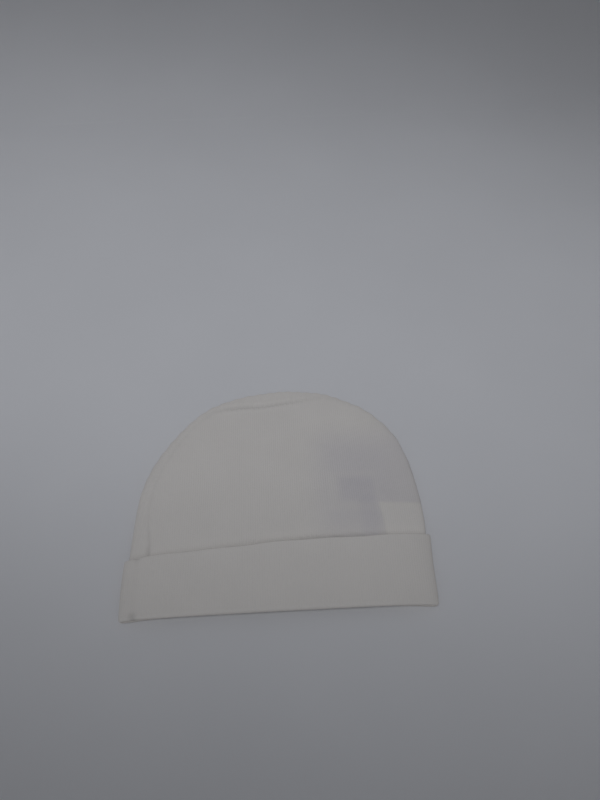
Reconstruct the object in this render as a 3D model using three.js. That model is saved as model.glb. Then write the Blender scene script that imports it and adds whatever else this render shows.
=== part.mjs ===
// Infant's cotton nightcap with a turned-up cuff, lying flat on its back.
// Millimetres, +Z up. The mouth faces -Y, the top of the crown +Y, and the front panel is uppermost.
import * as THREE from "three";

// Whole cap
const capWidth = 170; // across the cuff
const capHeight = 143; // from the fold at the mouth to the top of the crown
const mouthRise = 4.2; // height of the mouth's two corners above the surface
const edgeRise = 3; // height of the crown's outer edge above the surface
const mouthHollow = 5.6; // inside height at the middle of the mouth
const crownHollow = 7.6; // greatest inside height, past the middle of the crown
const backSetback = 3; // how far the back of the mouth lies behind its front

// Cloth
const crownWall = 1.2;
const cuffPly = 1.6;
const labelPly = 0.6;
const pieceGap = 0.3; // between cloths that lie on each other or meet at a seam

// Cuff, measured from the fold at the mouth to its free edge
const cuffLeft = 32.5;
const cuffMiddle = 37;
const cuffRight = 39;
const cuffSeamInset = 7.5; // from the left edge in to the seam that shows on the front
const hiddenSeamInset = 1; // from the right edge round to the seam behind it
const sagStart = 5; // from the cuff's free edge to where the back begins to come down to the surface
const sagRun = 14; // length over which it comes down

// Crown seam, which the back panel carries over on to the front
const seamRoll = 13; // widest strip of the back panel that shows on the front

// Care label, sewn into the right-hand seam and lying inside against the front panel
const labelLength = 50;
const labelWidth = 21;
const labelTilt = 18; // degrees that it climbs away from the seam
const labelUp = 49; // from the crown's lip to the middle of its sewn end
const labelSeamInset = 5; // from the crown's outer edge in to its sewn end
const labelGap = 0.45; // from the front panel's inside

// Fineness
const ringSteps = 20; // rings of a crown panel, from the middle of the mouth to the seam
const bendRing = 0.75; // share of the back panel's rings that lie under the cap, up to its outer edge
const cuffSteps = 68;
const labelSteps = 12;

// Rounding: the powers of the curves that bring front and back down to the outer edge
const frontFullness = 2.6;
const backFullness = 2.6;
const backFlat = 0.72; // share of the way out over which the back lies level

const halfWidth = capWidth / 2 - pieceGap - cuffPly;
const foldRadius = (crownWall + pieceGap + cuffPly) / 2;
const lip = foldRadius + pieceGap; // from the fold to the crown's own edge, where Y is 0 below
const crownHeight = capHeight - lip;
const rightAngle = Math.PI / 2;

// Outline: reach from the middle of the mouth at each turn, in shares of half width and height
const dome = [
  { turn: 0, reach: 0.996 },
  { turn: 10, reach: 1.022 },
  { turn: 20, reach: 1.086 },
  { turn: 30, reach: 1.149 },
  { turn: 35, reach: 1.165 },
  { turn: 40, reach: 1.163 },
  { turn: 50, reach: 1.138 },
  { turn: 60, reach: 1.088 },
  { turn: 75, reach: 1.029 },
  { turn: 90, reach: 1.0 },
  { turn: 105, reach: 1.009 },
  { turn: 120, reach: 1.048 },
  { turn: 135, reach: 1.072 },
  { turn: 145, reach: 1.086 },
  { turn: 152, reach: 1.081 },
  { turn: 162, reach: 1.03 },
  { turn: 180, reach: 0.996 },
];

// Seam of the crown: how far it lies in from the outer edge, in shares of seamRoll
const seam = [
  { turn: 0, inset: -0.08 },
  { turn: 54, inset: -0.08 },
  { turn: 64, inset: 0.12 },
  { turn: 75, inset: 0.52 },
  { turn: 86, inset: 0.78 },
  { turn: 96, inset: 0.77 },
  { turn: 106, inset: 0.58 },
  { turn: 116, inset: 0.32 },
  { turn: 127, inset: 0.4 },
  { turn: 142, inset: 0.58 },
  { turn: 155, inset: 0.7 },
  { turn: 165, inset: 0.86 },
  { turn: 180, inset: 0.62 },
];

// Inside height up the middle of the cap
const hollows = [
  { up: 0, height: mouthHollow },
  { up: 0.26, height: 0.45 * mouthHollow + 0.55 * crownHollow },
  { up: 0.56, height: crownHollow },
  { up: 0.8, height: 0.8 * crownHollow },
  { up: 1, height: 0.45 * crownHollow },
];

// Soft dents and swells of the front, placed in shares of half width and height
const dents = [
  { across: -0.74, up: 0.44, wide: 0.2, tall: 0.2, rise: -0.1 * crownHollow },
  { across: 0.42, up: 0.74, wide: 0.24, tall: 0.16, rise: -0.07 * crownHollow },
  { across: 0.36, up: 0.42, wide: 0.16, tall: 0.12, rise: 0.07 * crownHollow },
  { across: -0.2, up: 0.7, wide: 0.34, tall: 0.14, rise: 0.05 * crownHollow },
];

// Smooth curve through a table's rows, read at one place
function follow(rows, place, value, at) {
  const last = rows.length - 1;
  let i = 0;
  while (i < last - 1 && at > rows[i + 1][place]) i++;
  const slope = (j) => {
    const before = rows[Math.max(j - 1, 0)];
    const after = rows[Math.min(j + 1, last)];
    return (after[value] - before[value]) / (after[place] - before[place]);
  };
  const [low, high] = [rows[i], rows[i + 1]];
  const span = high[place] - low[place];
  const t = THREE.MathUtils.clamp((at - low[place]) / span, 0, 1);
  const bend = t * t * (3 - 2 * t);
  const leave = t * (1 - t) * (1 - t) * span * slope(i);
  const arrive = t * t * (1 - t) * span * slope(i + 1);
  return low[value] + (high[value] - low[value]) * bend + leave - arrive;
}

const reachAt = (turn) => follow(dome, "turn", "reach", THREE.MathUtils.radToDeg(turn));

// Height of the cuff's free edge above the crown's lip, across from -1 at the left to 1 at the right
function cuffEdge(across) {
  const tilt = (cuffRight - cuffLeft) / 2;
  const bow = (cuffRight + cuffLeft) / 2 - cuffMiddle;
  return cuffMiddle + tilt * across + bow * across * across - lip;
}

// How full the hollow cap is at a share of the way from the middle of the mouth to its outer edge
function fullness(share, level, power) {
  const way = Math.max(0, share - level) / (1 - level);
  return Math.pow(Math.max(0, 1 - Math.pow(way, power)), 1 / power);
}

// Height of the outside of the crown's back, lifted by the cuff under it
function backHeight(x, y) {
  const past = y - cuffEdge(x / halfWidth);
  return (cuffPly + pieceGap) * (1 - THREE.MathUtils.smoothstep(past, sagStart, sagStart + sagRun));
}

// Height of the outside of the crown's front
function frontHeight(x, y) {
  let height = backHeight(x, y) + 2 * crownWall;
  height += follow(hollows, "up", "height", y / crownHeight);
  for (const dent of dents) {
    const aside = (x / halfWidth - dent.across) / dent.wide;
    const along = (y / crownHeight - dent.up) / dent.tall;
    height += dent.rise * Math.exp(-aside * aside - along * along);
  }
  return height;
}

// Share of the way from the middle of the mouth to the outer edge of a cloth lying a distance out
function shareOut(x, y, out) {
  const aside = x / (halfWidth + out);
  const along = y / (crownHeight + out);
  return Math.min(1, Math.hypot(aside, along) / reachAt(Math.atan2(along, aside)));
}

// Point of a cloth lying a distance out from the crown's outside, from its place in plan
function clothPoint(x, y, onFront, out) {
  const onCrown = Math.max(0, y);
  const up = onCrown / crownHeight;
  const edge = THREE.MathUtils.lerp(mouthRise, edgeRise, THREE.MathUtils.smoothstep(up, 0.1, 0.5));
  const share = shareOut(x, onCrown, out);
  if (onFront) {
    const full = fullness(share, 0, frontFullness);
    return new THREE.Vector3(x, y, edge + (frontHeight(x, y) + out - edge) * full);
  }
  const full = fullness(share, backFlat, backFullness);
  const inward = 1 - Math.pow(shareOut(x, onCrown, 0), 4);
  const setback = backSetback * inward * (1 - up) * (1 - up);
  return new THREE.Vector3(x, y + setback, edge + (backHeight(x, y) - out - edge) * full);
}

// Point at a turn and at a way out from the middle of the mouth: 0 to 1 over the front, 1 to 2 back under
function crownPoint(turn, way, out) {
  const share = way <= 1 ? way : 2 - way;
  const length = share * reachAt(turn);
  const x = length * Math.cos(turn) * (halfWidth + out);
  const y = length * Math.sin(turn) * (crownHeight + out);
  return clothPoint(x, y, way <= 1, out);
}

// Way out to the crown's seam
function seamWay(turn) {
  const reach = reachAt(turn);
  const length = reach * Math.hypot(halfWidth * Math.cos(turn), crownHeight * Math.sin(turn));
  const inset = seamRoll * follow(seam, "turn", "inset", THREE.MathUtils.radToDeg(turn));
  return { way: 1 - inset / length, halfGap: pieceGap / 2 / length, leastStrip: 1 / length };
}

// Closed body from rows of points that make its outside and its inside, of the same count
function shellGeometry(outside, inside) {
  const rows = outside.length;
  const columns = outside[0].length;
  const points = [...outside.flat(), ...inside.flat()];
  const outer = (row, column) => row * columns + column;
  const inner = (row, column) => outer(row, column) + rows * columns;
  const index = [];
  const quad = (a, b, c, d) => index.push(a, b, c, a, c, d);
  for (let row = 0; row < rows - 1; row++)
    for (let column = 0; column < columns - 1; column++) {
      const [next, beside] = [row + 1, column + 1];
      quad(outer(row, column), outer(row, beside), outer(next, beside), outer(next, column));
      quad(inner(row, column), inner(next, column), inner(next, beside), inner(row, beside));
    }
  for (let column = 0; column < columns - 1; column++) {
    const [top, beside] = [rows - 1, column + 1];
    quad(outer(0, column), inner(0, column), inner(0, beside), outer(0, beside));
    quad(outer(top, column), outer(top, beside), inner(top, beside), inner(top, column));
  }
  for (let row = 0; row < rows - 1; row++) {
    const [end, next] = [columns - 1, row + 1];
    quad(outer(row, 0), outer(next, 0), inner(next, 0), inner(row, 0));
    quad(outer(row, end), inner(row, end), inner(next, end), outer(next, end));
  }
  return facingOut(points, index);
}

// Geometry of a closed body, turned inside out if its faces point in
function facingOut(points, index) {
  let volume = 0;
  const cross = new THREE.Vector3();
  for (let i = 0; i < index.length; i += 3) {
    const [a, b, c] = [points[index[i]], points[index[i + 1]], points[index[i + 2]]];
    volume += a.dot(cross.crossVectors(b, c));
  }
  const geometry = new THREE.BufferGeometry().setFromPoints(points);
  geometry.setIndex(volume < 0 ? index.toReversed() : index);
  geometry.computeVertexNormals();
  return geometry;
}

// Turn and ring of a point of the half disc that a panel is: across from -1 to 1, and up from 0 to 1
function discPlace(across, up) {
  const side = Math.abs(across);
  if (up >= side) return { turn: rightAngle - (rightAngle / 2) * (up ? across / up : 0), ring: up };
  const lean = (rightAngle / 2) * (up / side);
  return { turn: across > 0 ? lean : Math.PI - lean, ring: side };
}

// Panel of the crown: a half disc of cloth whose straight side is the mouth and whose arc is the seam
function panelGeometry(wayOut) {
  const layer = (out) => {
    const rows = [];
    for (let j = 0; j <= ringSteps; j++) {
      const row = [];
      for (let i = -ringSteps; i <= ringSteps; i++) {
        const { turn, ring } = discPlace(i / ringSteps, j / ringSteps);
        row.push(crownPoint(turn, wayOut(turn, ring), out));
      }
      rows.push(row);
    }
    return rows;
  };
  return shellGeometry(layer(0), layer(-crownWall));
}

function crownFrontGeometry() {
  return panelGeometry((turn, ring) => {
    const { way, halfGap } = seamWay(turn);
    return (way - halfGap) * Math.sin(rightAngle * ring);
  });
}

function crownBackGeometry() {
  return panelGeometry((turn, ring) => {
    const { way, halfGap, leastStrip } = seamWay(turn);
    const end = way + halfGap;
    const bend = Math.max(1, end + leastStrip);
    if (ring < bendRing) return 2 - (2 - bend) * Math.sin((rightAngle * ring) / bendRing);
    const past = (ring - bendRing) / (1 - bendRing);
    return bend + (end - bend) * past * past;
  });
}

// Half width of a cloth's outline at a height above the lip, on the right or the left
function outlineWidth(y, out, right) {
  const along = Math.max(0, y) / (crownHeight + out);
  let turn = right ? 0 : Math.PI;
  for (let pass = 0; pass < 8; pass++) {
    const lean = Math.asin(along / reachAt(turn));
    turn = right ? lean : Math.PI - lean;
  }
  return Math.abs(reachAt(turn) * Math.cos(turn)) * (halfWidth + out);
}

// Section of the cuff: the fold round the crown's lip, the outer ply and its rounded free edge
function cuffSection() {
  const inner = pieceGap;
  const outer = pieceGap + cuffPly;
  const foldMiddle = (outer - crownWall) / 2;
  const edgeRadius = cuffPly / 2;
  const section = [{ out: inner, share: 0, offset: -pieceGap }];
  for (let i = 0; i <= 6; i++) {
    const angle = Math.PI * (1 + i / 6);
    const out = foldMiddle + foldRadius * Math.cos(angle);
    section.push({ out, share: 0, offset: foldRadius * Math.sin(angle) - pieceGap });
  }
  for (const share of [0.33, 0.67]) section.push({ out: outer, share, offset: 0 });
  for (let i = 0; i <= 4; i++) {
    const angle = (Math.PI * i) / 4;
    const out = inner + edgeRadius + edgeRadius * Math.cos(angle);
    section.push({ out, share: 1, offset: edgeRadius * (Math.sin(angle) - 1) });
  }
  for (const share of [0.67, 0.33]) section.push({ out: inner, share, offset: 0 });
  return section;
}

// Part of the cuff between two places round it: -1 left edge, 0 middle of the front, 1 right edge,
// 2 middle of the back, 3 left edge again
function cuffGeometry(from, to) {
  const section = cuffSection();
  const steps = Math.round((cuffSteps * (to - from)) / 4);
  const points = [];
  for (let i = 0; i <= steps; i++) {
    const round = from + ((to - from) * i) / steps;
    const across = Math.sin(rightAngle * round);
    const onFront = round <= 1 || round > 3;
    for (const { out, share, offset } of section) {
      const y = share * cuffEdge(across) + offset;
      const x = across * outlineWidth(y, out, across > 0);
      points.push(clothPoint(x, y, onFront, out));
    }
  }
  const count = section.length;
  const index = [];
  for (let i = 0; i < steps; i++)
    for (let j = 0; j < count; j++) {
      const [a, b] = [i * count + j, i * count + ((j + 1) % count)];
      index.push(a, b, b + count, a, b + count, a + count);
    }
  const flat = section.map(({ out, share, offset }) => {
    return new THREE.Vector2(out, share * cuffMiddle + offset);
  });
  for (const [a, b, c] of THREE.ShapeUtils.triangulateShape(flat, [])) {
    const end = steps * count;
    index.push(a, c, b, end + a, end + b, end + c);
  }
  return facingOut(points, index);
}

// Place round the cuff of a line an inset in from one of its edges
const roundPlace = (inset) => Math.asin(1 - inset / halfWidth) / rightAngle;
const frontSeam = (side) => -roundPlace(cuffSeamInset + (side * pieceGap) / 2);
const hiddenSeam = (side) => 2 - roundPlace(hiddenSeamInset + (side * pieceGap) / 2);

// Care label: a strip under the front panel that climbs away from the right-hand seam
function labelGeometry() {
  const tilt = THREE.MathUtils.degToRad(labelTilt);
  const layer = (out) => {
    const rows = [];
    for (let j = 0; j <= labelSteps / 2; j++) {
      const aside = labelWidth * ((2 * j) / labelSteps - 0.5);
      const row = [];
      for (let i = 0; i <= labelSteps; i++) {
        const along = (labelLength * i) / labelSteps;
        const x = halfWidth - labelSeamInset - along * Math.cos(tilt);
        const y = labelUp + aside + along * Math.sin(tilt);
        row.push(clothPoint(x, y, true, out));
      }
      rows.push(row);
    }
    return rows;
  };
  const top = -crownWall - labelGap;
  return shellGeometry(layer(top), layer(top - labelPly));
}

// Plain cotton jersey in undyed cream, and the label's white satin tape
const jersey = { color: "#ede9e2", roughness: 0.95, metalness: 0 };
const satin = { color: "#f4f4f6", roughness: 0.55, metalness: 0 };

function piece(name, geometry, look) {
  const material = new THREE.MeshStandardMaterial({ ...look, side: THREE.FrontSide });
  const mesh = new THREE.Mesh(geometry, material);
  mesh.name = name;
  return mesh;
}

const nightcap = new THREE.Group();
nightcap.add(
  piece("crown_front", crownFrontGeometry(), jersey),
  piece("crown_back", crownBackGeometry(), jersey),
  piece("cuff_front", cuffGeometry(frontSeam(1), hiddenSeam(-1)), jersey),
  piece("cuff_back", cuffGeometry(hiddenSeam(1), 4 + frontSeam(-1)), jersey),
  piece("care_label", labelGeometry(), satin),
);

// Origin on the surface, under the middle of the cap
const box = new THREE.Box3().setFromObject(nightcap);
const middle = box.getCenter(new THREE.Vector3());
nightcap.position.set(-middle.x, -middle.y, -box.min.z);

export default nightcap;
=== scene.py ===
# An infant's cotton nightcap with a turned-up cuff, lying flat on its back.
# Metres; +X across the cap, +Y from the mouth to the top of the crown, +Z up.
import math

import bpy
import mathutils
import numpy as np
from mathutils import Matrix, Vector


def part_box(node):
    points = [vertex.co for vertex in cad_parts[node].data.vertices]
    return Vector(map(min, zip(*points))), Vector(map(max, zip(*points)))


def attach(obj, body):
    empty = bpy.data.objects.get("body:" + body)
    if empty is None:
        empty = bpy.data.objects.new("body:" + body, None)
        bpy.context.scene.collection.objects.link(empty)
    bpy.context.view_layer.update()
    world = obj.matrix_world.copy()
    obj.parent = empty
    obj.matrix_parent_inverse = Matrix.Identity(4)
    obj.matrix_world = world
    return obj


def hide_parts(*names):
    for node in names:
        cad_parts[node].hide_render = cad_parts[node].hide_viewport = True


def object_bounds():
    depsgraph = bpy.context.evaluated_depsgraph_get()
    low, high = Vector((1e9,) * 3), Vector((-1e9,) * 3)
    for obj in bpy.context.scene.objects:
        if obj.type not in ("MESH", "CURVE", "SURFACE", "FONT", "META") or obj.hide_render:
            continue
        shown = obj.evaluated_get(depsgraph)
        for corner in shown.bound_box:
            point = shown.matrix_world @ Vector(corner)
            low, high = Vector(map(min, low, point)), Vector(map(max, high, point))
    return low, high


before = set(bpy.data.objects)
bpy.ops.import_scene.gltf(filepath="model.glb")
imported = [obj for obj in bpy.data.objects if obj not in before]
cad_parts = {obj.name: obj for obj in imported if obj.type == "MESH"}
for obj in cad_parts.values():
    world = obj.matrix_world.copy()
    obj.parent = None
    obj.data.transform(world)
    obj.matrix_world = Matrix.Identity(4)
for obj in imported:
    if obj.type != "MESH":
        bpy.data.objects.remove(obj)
cad_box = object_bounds()

MM = 0.001
RIGHT_ANGLE = math.pi / 2

# Real sizes of the cap, those of the frame's solids
CAP_WIDTH = 170 * MM
CAP_HEIGHT = 143 * MM
MOUTH_RISE = 4.2 * MM  # height of the mouth's two corners
EDGE_RISE = 3 * MM  # height of the crown's outer edge
EDGE_SETTLES = (0.1, 0.5)  # shares of the height between which it comes down from the one to the other
MOUTH_HOLLOW = 5.6 * MM
CROWN_HOLLOW = 7.6 * MM
BACK_SETBACK = 3 * MM  # how far the back of the mouth lies behind its front
CROWN_WALL = 1.2 * MM
CUFF_PLY = 1.6 * MM
LABEL_PLY = 0.6 * MM
PIECE_GAP = 0.3 * MM
CUFF_LEFT = 32.5 * MM
CUFF_MIDDLE = 37 * MM
CUFF_RIGHT = 39 * MM
CUFF_SEAM_INSET = 7.5 * MM
HIDDEN_SEAM_INSET = 1 * MM
SAG_START = 5 * MM
SAG_RUN = 14 * MM
FRONT_SAG_RUN = 36 * MM
SEAM_ROLL = 13 * MM
LABEL_LENGTH = 50 * MM
LABEL_WIDTH = 21 * MM
LABEL_TILT = math.radians(18)
LABEL_UP = 49 * MM
LABEL_SEAM_INSET = 5 * MM
LABEL_GAP = 0.45 * MM
FRONT_FULLNESS = 2.6
BACK_FULLNESS = 2.6
BACK_FLAT = 0.72

HALF_WIDTH = CAP_WIDTH / 2 - PIECE_GAP - CUFF_PLY
FOLD_RADIUS = (CROWN_WALL + PIECE_GAP + CUFF_PLY) / 2
LIP = FOLD_RADIUS + PIECE_GAP  # from the fold to the crown's own edge
CROWN_HEIGHT = CAP_HEIGHT - LIP
LIP_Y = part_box("crown_front")[0][1]  # where the crown's edge lies in the frame

# Seam of the crown, and its small puckers
SEAM_SLIT = 0.02 * MM  # between the two cloths that meet at a seam
SEAM_DEPTH = 0.4 * MM
SEAM_SPREAD = 1.7 * MM
SEAM_RIDGE = 0.22 * MM
RIDGE_BESIDE = 3 * MM  # from the seam to the ridge's middle
RIDGE_SPREAD = 1.6 * MM
PUCKER_SPACING = 4.3 * MM
PUCKER_DEPTH = 0.16 * MM
PUCKER_SPREAD = 4 * MM
PUCKER_WANDER = ((11 * MM, 1, 0), (4.7 * MM, 0.7, 1))  # length, share and start of what shifts them
SEAM_CLEAR = 3 * MM  # past the cuff's edge, where the seam's relief is full
LEAST_ROLL = 1 * MM  # of the back's cloth, from the seam to where it turns under

# Gathers round the top of the crown
GATHER_SPACING = 9 * MM
GATHER_DEPTH = 0.22 * MM
GATHER_INSET = 2 * MM
GATHER_SPREAD = 6 * MM
GATHER_WANDER = 23 * MM
GATHER_SHIFT = 2.4
GATHER_GROWS = (0.25, 0.8)  # shares of the way up between which they grow

# The crown's tuck just above the cuff
TUCK_DEPTH = 0.9 * MM
TUCK_MIDDLE = 26 * MM  # where it draws in most, and the cuff's edge stands off most
TUCK_SPREAD = 34 * MM
TUCK_PAST = 1 * MM  # past the cuff's edge, where it is deepest
TUCK_TALL = 4 * MM
TUCK_BEHIND = 2 * MM  # how far behind the cuff's edge it begins
LEAST_STAND_OFF = 0.25

# The cuff's seam, notch, edge and slack
CUFF_SEAM_PULL = 0.12
NOTCH_DEPTH = 0.45 * MM
NOTCH_SPREAD = 1.4 * MM
NOTCH_AT_FOLD = 0.6
EDGE_SWAY = 0.22 * MM
LONG_SWAY = 7.3
SHORT_SWAY = 17
SHORT_SWAY_SHARE = 0.6
HEM_RISE = 0.5 * MM
HEM_SPREAD = 5 * MM
CUFF_SLACK = 0.8  # of the crown's slack, in depth
CUFF_SLACK_PACE = 0.8  # of the crown's, at which its waves follow each other across
CUFF_SLACK_FROM = 60 * MM  # up the same waves, so that they differ from the crown's
CUFF_SLACK_GROWS = (0.05, 0.4)  # shares of the cuff's height between which it grows
OUTER_FROM = 1.01 * PIECE_GAP  # what lies further out is the cuff's outer face
NO_SEAM = 1.0  # distance given to places that no seam is near

# Slack in the cloth, where it lies unstretched
SLACK_SEED = 4
SLACK_LENGTHS = [24 * MM, 31 * MM, 38 * MM, 47 * MM, 61 * MM]
SLACK_STEEPNESS = 0.0035
SLACK_GROWS = (-4 * MM, 14 * MM)  # past the cuff's edge
LABEL_RISE = 0.12 * MM
LABEL_SOFTEN = 2 * MM

# Painted shade: darker lines along the seams, in the creases and under the cuff's edge, as shares of the
# darkest
SEAM_SHADE = 0.4
SEAM_SHADE_SPREAD = 1.4 * MM
TUCKED_SHADE = 0.45  # painted shade where the crown's seam goes in under the cuff
TUCKED_LENGTH = 8 * MM
CUFF_EDGE_SHADOW_FADE = (0.7 * MM, 3.2 * MM)  # past the cuff's edge, between which the painted shadow of that edge on the crown fades out
CUFF_SEAM_SHADES = (0.08, 0.7, 0.4)  # painted shade all along the cuff's seam, more at the fold, more at the edge
CUFF_SEAM_SPREAD = 2.1 * MM
CUFF_SEAM_ENDS = 1.8 * MM

# Fineness of the cloth
RING_STEPS = 110
BEND_RING = 0.78  # ring at which the back's cloth turns over to the front
BEND_SPACING = 1.5
CUFF_STEPS = 640
FOLD_POINTS = 22
EDGE_POINTS = 12
RISE_POINTS = 44
LABEL_STEPS = 60
FLAT_STEPS = 40
OUTLINE_ROUNDS = 8
OUTLINE_POINTS = 181
MIDDLE_RING = 1e-9  # keeps the very middle of a panel, which has no direction, from dividing by nothing
SHARP_EDGE = math.radians(55)
FLOOR_WALL = 0.9 * CROWN_WALL  # least height of the inner face where the cloth lies on the floor

# Painted light and shade of the label behind the front: left, right, low, high, lean of the left side,
# soften, strength
LABEL_PAINTED_SHADES = (
    (59 * MM, 86 * MM, 36 * MM, 57 * MM, 0.15, 1.1 * MM, 0.09),
    (31 * MM, 60 * MM, 52 * MM, 78 * MM, 0.0, 2.0 * MM, 0.025),
    (37 * MM, 58 * MM, 58 * MM, 74 * MM, 0.0, 3.0 * MM, -0.055),
    (48 * MM, 58 * MM, 36 * MM, 60 * MM, 0.0, 3.0 * MM, -0.04),
    (34 * MM, 68 * MM, 58 * MM, 92 * MM, 0.2, 9.0 * MM, -0.02),
    (26 * MM, 88 * MM, 38 * MM, 104 * MM, 0.0, 12.0 * MM, -0.075),
)

# Cotton. A real newborn's jersey has wales about 0.8 mm apart; drawn coarser, to show at all
CREAM = "#F3EDE5"
COTTON_ROUGHNESS = 0.92
COTTON_SPECULAR = 0.25
COTTON_SHEEN = 0.18
COTTON_SHEEN_ROUGHNESS = 0.6
COTTON_SHEEN_TINT = "#FFF9F0"
WALE_MM = 1.3
COURSE_MM = 1.0
LOOP_LEAN = 1.4
LOOP_SHARE = 0.3
FUZZ_MM = 0.5
CRUMPLE_MM = 14.0
BLOTCH_MM = 22.0
KNIT_RELIEF = (0.35, 0.25 * MM)  # strength and depth
NAP_RELIEF = (0.25, 0.3 * MM)
CRUMPLE_RELIEF = (0.5, 0.6 * MM)
PLAIN_TONE = 0.92
BLOTCH_TONE = 0.06
STITCH_TONE = 0.04
# How dark the painted shade in creases, along seams and under the cuff's edge makes the cloth
PAINTED_SHADE_TONE = -0.24
COOL_TONE = 0.45  # share by which the label's painted dark areas darken blue less

# Satin tape and pale card
TAPE_WHITE = "#F4F4F6"
TAPE_ROUGHNESS = 0.5
TAPE_BANDS = 3.0  # scale of its fine weave, on places in millimetres
TAPE_WAVER = 0.3
TAPE_RELIEF = (0.2, 0.05 * MM)
CARD_PALE = "#E9E8E8"
CARD_ROUGHNESS = 0.85
CARD_TONES = ("#E5E4E4", "#EDECEC")
CARD_BLOTCHES = 9.0  # to the metre

# Light
LIGHT_COLOUR = "#F0F4FC"
TENT_STRENGTH = 0.2
LAMP_WATTS = 21.4
LAMP_RADIUS = 0.14
LAMP_CONE = math.radians(30)
LAMP_WIDENING = 2.2
LAMP_PLACE = (-0.18, -0.32, 1.3)
LAMP_AIM = (-0.06, 0.195, 0)

# Backdrop and camera
FLOOR_DROP = 0.08 * MM  # keeps the floor clear of the cloth's underside
FLOOR_CORNERS = ((1.7, 0.09), (-1.7, 0.09), (-1.7, -1.7), (1.7, -1.7))
CORNER_RADIUS = 300 * MM
SWEEP_RADIUS = 300 * MM
WALL_HEIGHT = 1.2
CORNER_STEPS = 8
SWEEP_STEPS = 120
LENS = 28.08  # millimetres, as the film's width is
FILM_WIDTH = 36
NEAREST = 10 * MM
CAMERA_X = 5.8 * MM  # right of the middle of the mouth
CAMERA_BEFORE = 90.7 * MM  # in front of the fold at the mouth
CAMERA_Z = 340.2 * MM
CAMERA_DOWN = math.radians(56)
CAMERA_HEADING = math.radians(3.03)

# Outline: reach from the middle of the mouth at each turn, in shares of half width and height
DOME = (
    (0, 0.996), (10, 1.022), (20, 1.086), (30, 1.149), (35, 1.165), (40, 1.163),
    (50, 1.138), (60, 1.088), (75, 1.029), (90, 1.0), (105, 1.009), (120, 1.048),
    (135, 1.072), (145, 1.086), (152, 1.081), (162, 1.03), (180, 0.996),
)

# Crown seam: turn, and how far it lies in from the outer edge, in shares of the roll
SEAM = (
    (0, -0.08), (54, -0.08), (64, 0.12), (75, 0.52), (86, 0.78), (96, 0.77), (106, 0.58),
    (116, 0.32), (127, 0.4), (142, 0.58), (155, 0.7), (165, 0.86), (180, 0.62),
)

# How hard that seam draws the cloth in: turn, and share of its full depth
SEAM_PULL = (
    (0, 0.2), (60, 0.2), (72, 0.35), (82, 0.85), (94, 1.0), (108, 1.0),
    (115, 0.5), (124, 0.2), (135, 0.25), (150, 0.25), (158, 0.35), (165, 0.8), (180, 0.4),
)

# Inside height up the middle of the cap, in shares of its height
HOLLOWS = (
    (0, MOUTH_HOLLOW),
    (0.26, 0.45 * MOUTH_HOLLOW + 0.55 * CROWN_HOLLOW),
    (0.56, CROWN_HOLLOW),
    (0.8, 0.8 * CROWN_HOLLOW),
    (1, 0.45 * CROWN_HOLLOW),
)

# Soft dents and swells of the front: across, up, wide, tall, rise
DENTS = (
    (-0.74, 0.44, 0.2, 0.2, -0.1 * CROWN_HOLLOW),
    (0.42, 0.74, 0.24, 0.16, -0.07 * CROWN_HOLLOW),
    (0.36, 0.42, 0.16, 0.12, 0.07 * CROWN_HOLLOW),
    (-0.2, 0.7, 0.34, 0.14, 0.05 * CROWN_HOLLOW),
)


def follow(rows, at):
    """Smooth curve through a table's rows, read at many places."""
    place, value = np.array(rows, float).T
    slope = np.empty(len(place))
    slope[1:-1] = (value[2:] - value[:-2]) / (place[2:] - place[:-2])
    slope[0] = (value[1] - value[0]) / (place[1] - place[0])
    slope[-1] = (value[-1] - value[-2]) / (place[-1] - place[-2])
    low = np.clip(np.searchsorted(place, at, side="right") - 1, 0, len(place) - 2)
    span = place[low + 1] - place[low]
    t = np.clip((at - place[low]) / span, 0, 1)
    bend = t * t * (3 - 2 * t)
    leave = t * (1 - t) ** 2 * span * slope[low]
    arrive = t * t * (1 - t) * span * slope[low + 1]
    return value[low] + (value[low + 1] - value[low]) * bend + leave - arrive


def smooth(start, end, at):
    """0 before start, 1 after end, and a smooth step between them."""
    t = np.clip((at - start) / (end - start), 0, 1)
    return t * t * (3 - 2 * t)


def bump(at, middle, spread):
    """1 at the middle, falling away smoothly to nothing on both sides."""
    return np.exp(-(((at - middle) / spread) ** 2))


def reach_at(turn):
    """Reach of the crown's outline at a turn, as a share."""
    return follow(DOME, np.degrees(turn))


def mouth_middle():
    """Where the middle of the mouth lies across the frame, whose box begins at the cuff's left edge."""
    turn = np.linspace(RIGHT_ANGLE, math.pi, OUTLINE_POINTS)
    return cad_box[0][0] - (reach_at(turn) * np.cos(turn)).min() * CAP_WIDTH / 2


MOUTH_X = mouth_middle()


def cuff_edge(across):
    """Height of the cuff's free edge above the crown's lip."""
    tilt = (CUFF_RIGHT - CUFF_LEFT) / 2
    bow = (CUFF_RIGHT + CUFF_LEFT) / 2 - CUFF_MIDDLE
    return CUFF_MIDDLE + tilt * across + bow * across**2 - LIP


def fullness(share, level, power):
    """How full the hollow cap is at a share of the way from the mouth's middle to its outer edge."""
    way = np.maximum(0, share - level) / (1 - level)
    return np.maximum(0, 1 - way**power) ** (1 / power)


def back_height(x, y, run=SAG_RUN):
    """How high the back lies over its cuff, and how it comes down to the floor past the cuff."""
    past = y - cuff_edge(x / HALF_WIDTH)
    return (CUFF_PLY + PIECE_GAP) * (1 - smooth(SAG_START, SAG_START + run, past))


def front_height(x, y):
    """How high the front lies over the hollow inside, with its dents and swells."""
    height = back_height(x, y, FRONT_SAG_RUN) + 2 * CROWN_WALL + follow(HOLLOWS, y / CROWN_HEIGHT)
    for across, up, wide, tall, rise in DENTS:
        aside = (x / HALF_WIDTH - across) / wide
        along = (y / CROWN_HEIGHT - up) / tall
        height = height + rise * np.exp(-(aside**2) - along**2)
    return height


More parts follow.
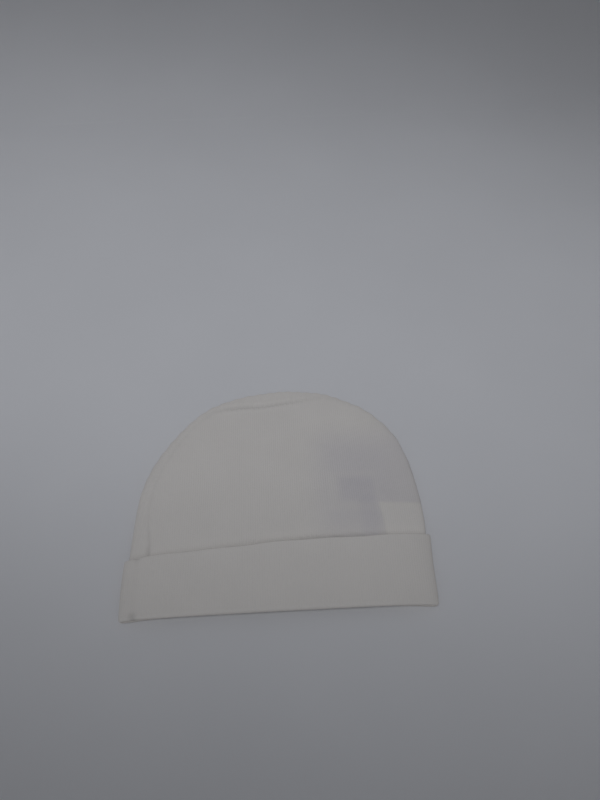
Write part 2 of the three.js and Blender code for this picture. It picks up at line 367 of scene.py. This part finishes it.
def share_out(x, y, out):
    """Share of the way from the mouth's middle to the outer edge of a cloth that lies a distance out."""
    aside, along = x / (HALF_WIDTH + out), y / (CROWN_HEIGHT + out)
    return np.minimum(1, np.hypot(aside, along) / reach_at(np.arctan2(along, aside)))


def cloth_point(x, y, on_front, out):
    """Points of a cloth lying a distance out from the crown's outside, in the frame."""
    on_crown = np.maximum(0, y)
    up = on_crown / CROWN_HEIGHT
    edge = MOUTH_RISE + (EDGE_RISE - MOUTH_RISE) * smooth(*EDGE_SETTLES, up)
    share = share_out(x, on_crown, out)
    front = edge + (front_height(x, y) + out - edge) * fullness(share, 0, FRONT_FULLNESS)
    back = edge + (back_height(x, y) - out - edge) * fullness(share, BACK_FLAT, BACK_FULLNESS)
    inward = 1 - share_out(x, on_crown, 0) ** 4
    setback = np.where(on_front, 0, BACK_SETBACK * inward * (1 - up) ** 2)
    return np.stack([x + MOUTH_X, y + setback + LIP_Y, np.where(on_front, front, back)], axis=-1)


def crown_point(turn, way, out):
    """Points at a turn and a way out: 0 to 1 over the front, 1 to 2 back under."""
    length = np.where(way <= 1, way, 2 - way) * reach_at(turn)
    x = length * np.cos(turn) * (HALF_WIDTH + out)
    y = length * np.sin(turn) * (CROWN_HEIGHT + out)
    return cloth_point(x, y, way <= 1, out)


def seam_way(turn):
    """Way out to the crown's seam, and the length of the whole way."""
    length = reach_at(turn) * np.hypot(HALF_WIDTH * np.cos(turn), CROWN_HEIGHT * np.sin(turn))
    return 1 - SEAM_ROLL * follow(SEAM, np.degrees(turn)) / length, length


def disc_places():
    """Turn and ring of each point of the half disc that a crown panel is."""
    up, across = np.mgrid[0 : RING_STEPS + 1, -RING_STEPS : RING_STEPS + 1] / RING_STEPS
    side = np.abs(across)
    ring = np.maximum(up, side)
    safe = np.maximum(ring, MIDDLE_RING)
    top = RIGHT_ANGLE - RIGHT_ANGLE / 2 * across / safe
    lean = RIGHT_ANGLE / 2 * up / safe
    return np.where(up >= side, top, np.where(across > 0, lean, math.pi - lean)), ring


def soft_folds(x, y):
    """Slack in the cloth: a few crossing waves, each with its own length and direction."""
    draw = np.random.default_rng(SLACK_SEED)
    height = 0
    for length in SLACK_LENGTHS:
        heading = draw.uniform(0, math.pi)
        phase = draw.uniform(0, 2 * math.pi)
        along = x * math.cos(heading) + y * math.sin(heading)
        height = height + length * SLACK_STEEPNESS * np.sin(2 * math.pi * along / length + phase)
    return height


def stand_off(x):
    """How much the cuff's edge stands off the crown at a place across it, as a share."""
    return LEAST_STAND_OFF + (1 - LEAST_STAND_OFF) * bump(x, TUCK_MIDDLE, TUCK_SPREAD)


def front_slack(x, y):
    """How far the front cloth stands out or draws in from its plain form."""
    past = y - cuff_edge(x / HALF_WIDTH)
    tuck = TUCK_DEPTH * stand_off(x) * bump(past, TUCK_PAST, TUCK_TALL)
    return soft_folds(x, y) * smooth(*SLACK_GROWS, past) - tuck * smooth(-TUCK_BEHIND, 0, past)


def seam_shape(distance, along):
    """A seam's groove, the soft ridge beside it and the small puckers across it."""
    wander = sum(share * np.sin(along / length + start) for length, share, start in PUCKER_WANDER)
    ripple = PUCKER_DEPTH * np.sin(2 * math.pi * along / PUCKER_SPACING + wander)
    ridge = SEAM_RIDGE * bump(distance, RIDGE_BESIDE, RIDGE_SPREAD)
    groove = SEAM_DEPTH * bump(distance, 0, SEAM_SPREAD)
    return ridge + ripple * bump(distance, 0, PUCKER_SPREAD) - groove


def gathers(turn, along, inset):
    """Shallow folds that the seam gathers round the top of the crown."""
    shift = GATHER_SHIFT * np.sin(along / GATHER_WANDER)
    fold = GATHER_DEPTH * np.sin(2 * math.pi * along / GATHER_SPACING + shift)
    return fold * smooth(*GATHER_GROWS, np.sin(turn)) * bump(inset, GATHER_INSET, GATHER_SPREAD)


def facing_of(mesh):
    """Six times the volume of a closed mesh, below zero where its faces look inwards."""
    mesh.calc_loop_triangles()
    points = np.empty(len(mesh.vertices) * 3, np.float32)
    mesh.vertices.foreach_get("co", points)
    corners = np.empty(len(mesh.loop_triangles) * 3, np.int32)
    mesh.loop_triangles.foreach_get("vertices", corners)
    a, b, c = points.reshape(-1, 3)[corners.reshape(-1, 3)].transpose(1, 0, 2)
    return float((a * np.cross(b, c)).sum())


def solid_mesh(name, points, faces, attributes):
    """A piece made of points and faces, which carries values at its points and rides on the cap."""
    mesh = bpy.data.meshes.new(name)
    mesh.from_pydata(points.tolist(), [], faces)
    for key, values in attributes.items():
        is_vector = values.shape[1] == 3
        layer = mesh.attributes.new(key, "FLOAT_VECTOR" if is_vector else "FLOAT", "POINT")
        layer.data.foreach_set("vector" if is_vector else "value", values.astype(np.float32).ravel())
    if facing_of(mesh) < 0:
        mesh.flip_normals()
    mesh.shade_smooth()
    mesh.set_sharp_from_angle(angle=SHARP_EDGE)
    piece = bpy.data.objects.new(name, mesh)
    bpy.context.collection.objects.link(piece)
    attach(piece, "root")
    return piece


def cloth_mesh(name, outside, inside, attributes):
    """A closed cloth from a grid of points for each of its two sides, joined round their border."""
    rows, columns = outside.shape[:2]
    count = rows * columns
    points = np.concatenate([outside.reshape(-1, 3), inside.reshape(-1, 3)])
    place = np.arange(count).reshape(rows, columns)
    corners = [place[:-1, :-1], place[:-1, 1:], place[1:, 1:], place[1:, :-1]]
    outer = np.stack(corners, axis=-1).reshape(-1, 4)
    inner = outer[:, ::-1] + count
    border = np.concatenate([place[0], place[1:, -1], place[-1, -2::-1], place[-2:0:-1, 0]])
    after = np.roll(border, -1)
    rim = np.stack([border, border + count, after + count, after], axis=-1)
    both = {key: np.concatenate([grid.reshape(count, -1)] * 2) for key, grid in attributes.items()}
    return solid_mesh(name, points, np.concatenate([outer, inner, rim]).tolist(), both)


def swept_mesh(name, loops, attributes):
    """A closed body from a closed section at each step along a way, with its two ends capped."""
    steps, count = loops.shape[:2]
    place = np.arange(steps * count).reshape(steps, count)
    beside = np.roll(place, -1, axis=1)
    sides = np.stack([place[:-1], beside[:-1], beside[1:], place[1:]], axis=-1).reshape(-1, 4)
    faces = sides.tolist() + [place[0, ::-1].tolist(), place[-1].tolist()]
    flat = {key: grid.reshape(steps * count, -1) for key, grid in attributes.items()}
    return solid_mesh(name, loops.reshape(-1, 3), faces, flat)


def unrolled(turn, way, start):
    """Where each point of a crown panel lies on its flat cut, in millimetres."""
    shares = np.linspace(0, 1, FLAT_STEPS)
    path = crown_point(turn[..., None], start + (way[..., None] - start) * shares, 0.0)
    length = np.linalg.norm(np.diff(path, axis=-2), axis=-1).sum(axis=-1)
    heading = np.arctan2(CROWN_HEIGHT * np.sin(turn), HALF_WIDTH * np.cos(turn))
    flat = [length * np.cos(heading), length * np.sin(heading), np.zeros_like(length)]
    return np.stack(flat, axis=-1) / MM


def crown_panel(name, start, way):
    """A crown panel from the middle of the mouth, at one way out, to the seam."""
    turn, ring = disc_places()
    way = way(turn, ring)
    seam, length = seam_way(turn)
    distance = np.abs(way - seam) * length
    along = turn * (HALF_WIDTH + CROWN_HEIGHT) / 2
    plain = crown_point(turn, way, 0.0)
    x, y = plain[..., 0] - MOUTH_X, np.maximum(0, plain[..., 1] - LIP_Y)
    on_front = way <= 1
    past = y - cuff_edge(x / HALF_WIDTH)
    free = smooth(0, SEAM_CLEAR, past)
    pull = follow(SEAM_PULL, np.degrees(turn)) * free
    out = seam_shape(distance, along) * pull + gathers(turn, along, np.abs(way - 1) * length) * free
    out = np.where(on_front, out + front_slack(x, y), np.minimum(out, 0))
    if start == 0:
        out = out + LABEL_RISE * label_mask(x, y, LABEL_SOFTEN)
    outside = crown_point(turn, way, out)
    inside = crown_point(turn, way, out - CROWN_WALL)
    outside[..., 2] = np.maximum(outside[..., 2], 0)
    inside[..., 2] = np.maximum(inside[..., 2], FLOOR_WALL)
    # Painted shade: along the seam, in the cuff's shadow just above its edge, and where the seam goes in
    # under the cuff
    near_seam = bump(distance, 0, SEAM_SHADE_SPREAD)
    cuff_edge_shadow = stand_off(x) * (1 - smooth(*CUFF_EDGE_SHADOW_FADE, past)) * on_front
    tucked_seam_shade = TUCKED_SHADE * near_seam * (1 - smooth(0, TUCKED_LENGTH, past))
    attributes = {
        "flat_mm": unrolled(turn, way, start),
        "painted_crease_shade": np.maximum(SEAM_SHADE * pull * near_seam, cuff_edge_shadow) + tucked_seam_shade,
        # Painted lighter and darker areas where the label lies behind the front, and a painted shadow at its
        # fold
        "show_through": show_through(x, y) * (start == 0),
    }
    return cloth_mesh(name, outside, inside, attributes)


def label_mask(x, y, soften):
    """1 over the care label, seen from above, and 0 past its edges."""
    aside = (HALF_WIDTH - LABEL_SEAM_INSET) - x
    along = aside * math.cos(LABEL_TILT) + (y - LABEL_UP) * math.sin(LABEL_TILT)
    across = np.abs((y - LABEL_UP) * math.cos(LABEL_TILT) - aside * math.sin(LABEL_TILT))
    ends = smooth(-soften, soften, along) * (1 - smooth(-soften, soften, along - LABEL_LENGTH))
    return ends * (1 - smooth(-soften, soften, across - LABEL_WIDTH / 2))


def show_through(x, y):
    """Painted light and shade of the label behind the front, and a painted shadow at its fold."""
    tone = np.zeros_like(x)
    for left, right, low, high, lean, soften, strength in LABEL_PAINTED_SHADES:
        from_left = x - left - lean * (high - y)
        inside = smooth(-soften, soften, from_left) * (1 - smooth(-soften, soften, x - right))
        inside = inside * smooth(-soften, soften, y - low) * (1 - smooth(-soften, soften, y - high))
        tone = tone + strength * inside
    return tone


def crown_front():
    """The front panel, from the mouth over the face of the cap to the seam."""
    def way(turn, ring):
        """Way out of each ring, closer together towards the seam."""
        seam, length = seam_way(turn)
        return (seam - SEAM_SLIT / 2 / length) * np.sin(RIGHT_ANGLE * ring)

    panel = crown_panel("crown_front_cloth", 0, way)
    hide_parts("crown_front")
    return panel


def crown_back():
    """The back panel, which lies on the floor and rolls over the outer edge to the seam."""
    def way(turn, ring):
        """Way of each ring, out along the floor and then over the outer edge and in to the seam."""
        seam, length = seam_way(turn)
        end = seam + SEAM_SLIT / 2 / length
        bend = np.maximum(1, end + LEAST_ROLL / length)
        under = 2 - (2 - bend) * np.sin(RIGHT_ANGLE * np.minimum(1, ring / BEND_RING))
        past = np.maximum(0, ring - BEND_RING) / (1 - BEND_RING)
        return np.where(ring < BEND_RING, under, bend + (end - bend) * past**BEND_SPACING)

    panel = crown_panel("crown_back_cloth", 2, way)
    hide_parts("crown_back")
    return panel


def outline_width(y, out, right):
    """Half width of a cloth's outline at a height above the lip."""
    along = np.maximum(0, y) / (CROWN_HEIGHT + out)
    turn = np.where(right, 0.0, math.pi)
    for _ in range(OUTLINE_ROUNDS):
        lean = np.arcsin(along / reach_at(turn))
        turn = np.where(right, lean, math.pi - lean)
    return np.abs(reach_at(turn) * np.cos(turn)) * (HALF_WIDTH + out)


def cuff_section():
    """The cuff's section: distance out, share of its height, and offset from that height."""
    inner, outer = PIECE_GAP, PIECE_GAP + CUFF_PLY
    middle, radius = (outer - CROWN_WALL) / 2, CUFF_PLY / 2
    fold = math.pi * (1 + np.linspace(0, 1, FOLD_POINTS))
    edge = math.pi * np.linspace(0, 1, EDGE_POINTS)
    rise = np.linspace(0, 1, RISE_POINTS)[1:-1]
    parts = [
        (np.full(1, inner), np.zeros(1), np.full(1, -PIECE_GAP)),
        (middle + FOLD_RADIUS * np.cos(fold), 0 * fold, FOLD_RADIUS * np.sin(fold) - PIECE_GAP),
        (np.full(rise.size, outer), rise, 0 * rise),
        (inner + radius + radius * np.cos(edge), 1 + 0 * edge, radius * (np.sin(edge) - 1)),
        (np.full(rise.size, inner), rise[::-1], 0 * rise),
    ]
    return [np.concatenate(column) for column in zip(*parts)]


def round_place(inset):
    """Place round the cuff of a line an inset in from one of its edges."""
    return math.asin(1 - inset / HALF_WIDTH) / RIGHT_ANGLE


def cuff_slack(x, y, share):
    """Soft waves of the turned-up band, none at its fold."""
    waves = soft_folds(x * CUFF_SLACK_PACE, y + CUFF_SLACK_FROM)
    return CUFF_SLACK * waves * smooth(*CUFF_SLACK_GROWS, share)


def path_length(*steps):
    """Length along a line up to each of its points, from its coordinates."""
    moves = [np.diff(step, axis=0, prepend=step[:1]) for step in steps]
    return np.cumsum(np.sqrt(sum(move**2 for move in moves)))


def cuff(name, node, start, end):
    """Part of the cuff: -1 is its left edge, 0 the middle of the front, 1 its right edge and 2 its back."""
    round_at = np.linspace(start, end, int(CUFF_STEPS * (end - start) / 4))[:, None]
    across = np.sin(RIGHT_ANGLE * round_at)
    on_front = (round_at <= 1) | (round_at > 3)
    out, share, offset = [column[None] for column in cuff_section()]
    from_seam = np.abs((1 + across) * HALF_WIDTH - CUFF_SEAM_INSET)
    near_seam = np.where((across < 0) & on_front, from_seam, NO_SEAM)
    notch = NOTCH_DEPTH * bump(near_seam, 0, NOTCH_SPREAD)
    short_sway = SHORT_SWAY_SHARE * np.sin(across * SHORT_SWAY + 2 * on_front)
    height = cuff_edge(across) + EDGE_SWAY * (np.sin(across * LONG_SWAY + 1) + short_sway) - notch
    y = share * height + offset + NOTCH_AT_FOLD * notch * (share == 0)
    x = across * outline_width(y, out, across > 0)
    hem = HEM_RISE * stand_off(x) * bump((1 - share) * height, 0, HEM_SPREAD) * (share > 0)
    seam = CUFF_SEAM_PULL * seam_shape(near_seam, share * height)
    lift = (np.where(on_front, cuff_slack(x, y, share) + hem, 0) + seam) * (out > OUTER_FROM)
    loops = cloth_point(x, y, on_front, out + lift)
    loops[..., 2] = np.maximum(loops[..., 2], 0)
    flat = np.zeros(loops.shape)
    flat[..., 0] = path_length(*loops[:, 0].T)[:, None] / MM
    flat[..., 1] = path_length(out[0], y[0])[None] / MM
    # Painted shade along the cuff's seam, more at its fold and at its edge
    all_along, at_fold, at_edge = CUFF_SEAM_SHADES
    shade = all_along + at_fold * bump(share * height, 0, CUFF_SEAM_ENDS)
    shade = shade + at_edge * bump(share * height, height, CUFF_SEAM_ENDS)
    attributes = {
        "flat_mm": flat,
        "painted_crease_shade": shade * bump(near_seam, 0, CUFF_SEAM_SPREAD),
        "show_through": 0 * y,
    }
    piece = swept_mesh(name, loops, attributes)
    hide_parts(node)
    return piece


def cuffs():
    """The cuff's two parts, which meet at the seam near the left edge and at the hidden one."""
    half = SEAM_SLIT / 2
    start, end = -round_place(CUFF_SEAM_INSET + half), 2 - round_place(HIDDEN_SEAM_INSET - half)
    front = cuff("cuff_front_cloth", "cuff_front", start, end)
    start, end = 2 - round_place(HIDDEN_SEAM_INSET + half), 4 - round_place(CUFF_SEAM_INSET - half)
    back = cuff("cuff_back_cloth", "cuff_back", start, end)
    return front, back


def care_label():
    """A strip of satin tape inside the front, climbing away from the seam that holds it."""
    rows = LABEL_STEPS // 2
    aside = LABEL_WIDTH * (np.arange(rows + 1)[:, None] / rows - 0.5)
    along = LABEL_LENGTH * np.arange(LABEL_STEPS + 1)[None] / LABEL_STEPS
    x = HALF_WIDTH - LABEL_SEAM_INSET - along * math.cos(LABEL_TILT) + 0 * aside
    y = LABEL_UP + aside + along * math.sin(LABEL_TILT)
    out = front_slack(x, y) - CROWN_WALL - LABEL_GAP
    flat = np.stack([along + 0 * aside, aside + 0 * along, 0 * x], axis=-1) / MM
    outside = cloth_point(x, y, True, out)
    inside = cloth_point(x, y, True, out - LABEL_PLY)
    piece = cloth_mesh("care_label_tape", outside, inside, {"flat_mm": flat})
    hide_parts("care_label")
    return piece


def linear(hex_colour):
    """An sRGB hex colour as linear red, green, blue and alpha."""
    parts = [int(hex_colour[i : i + 2], 16) / 255 for i in (1, 3, 5)]
    return [p / 12.92 if p <= 0.04045 else ((p + 0.055) / 1.055) ** 2.4 for p in parts] + [1]


def add(tree, kind, settings=None, inputs=None, output=0):
    """Adds a node with its settings, fills each input or links what feeds it, and gives an output."""
    node = tree.nodes.new(kind)
    for key, value in (settings or {}).items():
        setattr(node, key, value)
    for key, value in (inputs or {}).items():
        if isinstance(value, bpy.types.NodeSocket):
            tree.links.new(value, node.inputs[key])
        else:
            node.inputs[key].default_value = value
    return node.outputs[output]


def new_material(name, colour, roughness):
    """A material with its shader's plain colour and roughness, its node tree, and that shader."""
    material = bpy.data.materials.new(name)
    material.use_nodes = True
    material.diffuse_color = linear(colour)
    shader = material.node_tree.nodes["Principled BSDF"]
    shader.inputs["Base Color"].default_value = linear(colour)
    shader.inputs["Roughness"].default_value = roughness
    return material, material.node_tree, shader


def knit_pattern(tree, flat):
    """Stitches: a rounded rib for each wale, and the arms of its loops leaning away from its middle."""
    across = add(tree, "ShaderNodeSeparateXYZ", {}, {"Vector": flat}, "X")
    along = across.node.outputs["Y"]
    wales = add(tree, "ShaderNodeMath", {"operation": "DIVIDE"}, {0: across, 1: WALE_MM})
    wale = add(tree, "ShaderNodeMath", {"operation": "PINGPONG"}, {0: wales, 1: 0.5})
    wale_turn = add(tree, "ShaderNodeMath", {"operation": "MULTIPLY"}, {0: wale, 1: math.pi})
    rib = add(tree, "ShaderNodeMath", {"operation": "SINE"}, {0: wale_turn})
    course = add(tree, "ShaderNodeMath", {"operation": "DIVIDE"}, {0: along, 1: COURSE_MM})
    lean = add(tree, "ShaderNodeMath", {"operation": "MULTIPLY_ADD"}, {0: wale, 1: LOOP_LEAN, 2: course})
    loop_turn = add(tree, "ShaderNodeMath", {"operation": "MULTIPLY"}, {0: lean, 1: 2 * math.pi})
    loop = add(tree, "ShaderNodeMath", {"operation": "SINE"}, {0: loop_turn})
    arms = {0: loop, 1: LOOP_SHARE, 2: 1 - LOOP_SHARE}
    arm = add(tree, "ShaderNodeMath", {"operation": "MULTIPLY_ADD"}, arms)
    return add(tree, "ShaderNodeMath", {"operation": "MULTIPLY"}, {0: rib, 1: arm})


def cloth_tones(tree, flat, stitch):
    """Tone: uneven yarn, darker between wales, painted crease shade, and the label's painted show-through.
    """
    speckle = {"Vector": flat, "Scale": 1 / BLOTCH_MM, "Detail": 3}
    blotch = add(tree, "ShaderNodeTexNoise", {}, speckle, "Fac")
    # Painted shade of the creases, and painted light and shade of the label behind the front
    painted_crease_shade = add(tree, "ShaderNodeAttribute", {"attribute_name": "painted_crease_shade"}, output="Fac")
    shade = add(tree, "ShaderNodeAttribute", {"attribute_name": "show_through"}, output="Fac")
    darker = add(tree, "ShaderNodeMath", {"operation": "MINIMUM"}, {0: shade, 1: 0.0})
    tone = PLAIN_TONE
    parts = ((blotch, BLOTCH_TONE), (stitch, STITCH_TONE), (painted_crease_shade, PAINTED_SHADE_TONE), (shade, 1.0))
    for source, strength in parts:
        step = {0: source, 1: strength, 2: tone}
        tone = add(tree, "ShaderNodeMath", {"operation": "MULTIPLY_ADD"}, step)
    cool = add(tree, "ShaderNodeMath", {"operation": "MULTIPLY_ADD"}, {0: darker, 1: -COOL_TONE, 2: tone})
    grey = add(tree, "ShaderNodeCombineColor", {}, {"Red": tone, "Green": tone, "Blue": cool})
    # Inputs 6 and 7 are the two colours that are multiplied, and output 2 is what comes of them
    colours = {"Factor": 1.0, 6: linear(CREAM), 7: grey}
    return add(tree, "ShaderNodeMix", {"data_type": "RGBA", "blend_type": "MULTIPLY"}, colours, 2)


def cotton_jersey():
    """Undyed combed cotton, weft-knitted as a fine single jersey and washed: a dry, matt, slightly
    fuzzy face with faint upright ribs, a little uneven in tone, and no gloss at all."""
    material, tree, shader = new_material("cotton_jersey", CREAM, COTTON_ROUGHNESS)
    shader.inputs["Specular IOR Level"].default_value = COTTON_SPECULAR
    shader.inputs["Sheen Weight"].default_value = COTTON_SHEEN
    shader.inputs["Sheen Roughness"].default_value = COTTON_SHEEN_ROUGHNESS
    shader.inputs["Sheen Tint"].default_value = linear(COTTON_SHEEN_TINT)
    flat = add(tree, "ShaderNodeAttribute", {"attribute_name": "flat_mm"}, output="Vector")
    stitch = knit_pattern(tree, flat)
    nap = {"Vector": flat, "Scale": 1 / FUZZ_MM, "Detail": 3}
    fuzz = add(tree, "ShaderNodeTexNoise", {}, nap, "Fac")
    crumple = {"Vector": flat, "Scale": 1 / CRUMPLE_MM, "Detail": 4}
    slack = add(tree, "ShaderNodeTexNoise", {}, crumple, "Fac")
    reliefs = ((stitch, *KNIT_RELIEF), (fuzz, *NAP_RELIEF), (slack, *CRUMPLE_RELIEF))
    relief = {}
    for height, strength, depth in reliefs:
        inputs = {"Height": height, "Strength": strength, "Distance": depth, **relief}
        relief = {"Normal": add(tree, "ShaderNodeBump", {}, inputs)}
    tree.links.new(relief["Normal"], shader.inputs["Normal"])
    tree.links.new(cloth_tones(tree, flat, stitch), shader.inputs["Base Color"])
    return material


def satin_tape():
    """Woven polyester satin: white, smoother than the cotton, with a soft gloss along its length."""
    material, tree, shader = new_material("satin_tape", TAPE_WHITE, TAPE_ROUGHNESS)
    flat = add(tree, "ShaderNodeAttribute", {"attribute_name": "flat_mm"}, output="Vector")
    bands = {"Vector": flat, "Scale": TAPE_BANDS, "Distortion": TAPE_WAVER}
    weave = add(tree, "ShaderNodeTexWave", {"bands_direction": "Y"}, bands, "Fac")
    strength, depth = TAPE_RELIEF
    relief = add(tree, "ShaderNodeBump", {}, {"Height": weave, "Strength": strength, "Distance": depth})
    tree.links.new(relief, shader.inputs["Normal"])
    return material


def pale_card():
    """Matt white studio card, a little cool in this light, with a faint unevenness of tone."""
    material, tree, shader = new_material("pale_card", CARD_PALE, CARD_ROUGHNESS)
    place = add(tree, "ShaderNodeNewGeometry", output="Position")
    speckle = {"Vector": place, "Scale": CARD_BLOTCHES, "Detail": 2}
    blotch = add(tree, "ShaderNodeTexNoise", {}, speckle, "Fac")
    tone = add(tree, "ShaderNodeValToRGB", {}, {"Fac": blotch}, "Color")
    for stop, colour in zip(tone.node.color_ramp.elements, CARD_TONES):
        stop.color = linear(colour)
    tree.links.new(tone, shader.inputs["Base Color"])
    return material


def paint(piece, material):
    """Gives a piece its material, in its only slot."""
    piece.data.materials.clear()
    piece.data.materials.append(material)


def sweep():
    """The pale floor, which curves up into a wall all round: close behind the cap, and far off elsewhere."""
    rim = []
    for quarter, (side, end) in enumerate(FLOOR_CORNERS):
        for step in range(CORNER_STEPS + 1):
            turn = RIGHT_ANGLE * (quarter + step / CORNER_STEPS)
            rim.append((side, end, math.cos(turn), math.sin(turn)))
    angles = [RIGHT_ANGLE * step / SWEEP_STEPS for step in range(SWEEP_STEPS + 1)]
    profile = [(SWEEP_RADIUS * math.sin(a), SWEEP_RADIUS * (1 - math.cos(a))) for a in angles]
    points = []
    for out, rise in [*profile, (SWEEP_RADIUS, WALL_HEIGHT)]:
        reach = CORNER_RADIUS + out
        points += [(x + reach * c, y + reach * s, rise - FLOOR_DROP) for x, y, c, s in rim]
    count = len(rim)
    faces = [tuple(range(count))]
    for low in range(0, len(points) - count, count):
        for i in range(count):
            beside = (i + 1) % count
            faces.append((low + i, low + beside, low + count + beside, low + count + i))
    mesh = bpy.data.meshes.new("floor")
    mesh.from_pydata(points, [], faces)
    mesh.shade_smooth()
    mesh.polygons[0].use_smooth = False
    floor = bpy.data.objects.new("floor", mesh)
    floor.data.materials.append(pale_card())
    bpy.context.collection.objects.link(floor)


def light():
    """Dim, cool studio light: an even tent, and a wide soft lamp from the front and left."""
    world = bpy.data.worlds.new("tent")
    world.use_nodes = True
    tent = world.node_tree.nodes["Background"]
    tent.inputs["Color"].default_value = linear(LIGHT_COLOUR)
    tent.inputs["Strength"].default_value = TENT_STRENGTH
    bpy.context.scene.world = world
    data = bpy.data.lights.new("soft_lamp", "SPOT")
    data.energy = LAMP_WATTS
    data.color = linear(LIGHT_COLOUR)[:3]
    data.shadow_soft_size = LAMP_RADIUS
    data.spot_size = LAMP_CONE
    data.spot_blend = 1
    lamp = bpy.data.objects.new("soft_lamp", data)
    lamp.location = LAMP_PLACE
    aim = mathutils.Vector(LAMP_AIM) - lamp.location
    lamp.rotation_euler = aim.to_track_quat("-Z", "Y").to_euler()
    lamp.scale = (LAMP_WIDENING, 1, 1)
    bpy.context.collection.objects.link(lamp)
    bpy.context.scene.view_settings.view_transform = "Standard"


def camera():
    """The photo's view: from above the mouth, looking down at the cap and along it."""
    data = bpy.data.cameras.new("camera")
    data.lens = LENS
    data.sensor_width = FILM_WIDTH
    data.clip_start = NEAREST
    eye = bpy.data.objects.new("camera", data)
    eye.location = (MOUTH_X + CAMERA_X, cad_box[0][1] - CAMERA_BEFORE, CAMERA_Z)
    eye.rotation_euler = (RIGHT_ANGLE - CAMERA_DOWN, 0, -CAMERA_HEADING)
    bpy.context.collection.objects.link(eye)
    bpy.context.scene.camera = eye


def main():
    """The cap's five pieces with their finishes, the floor, the light and the camera."""
    jersey = cotton_jersey()
    for piece in (crown_front(), crown_back(), *cuffs()):
        paint(piece, jersey)
    paint(care_label(), satin_tape())
    sweep()
    light()
    camera()


main()
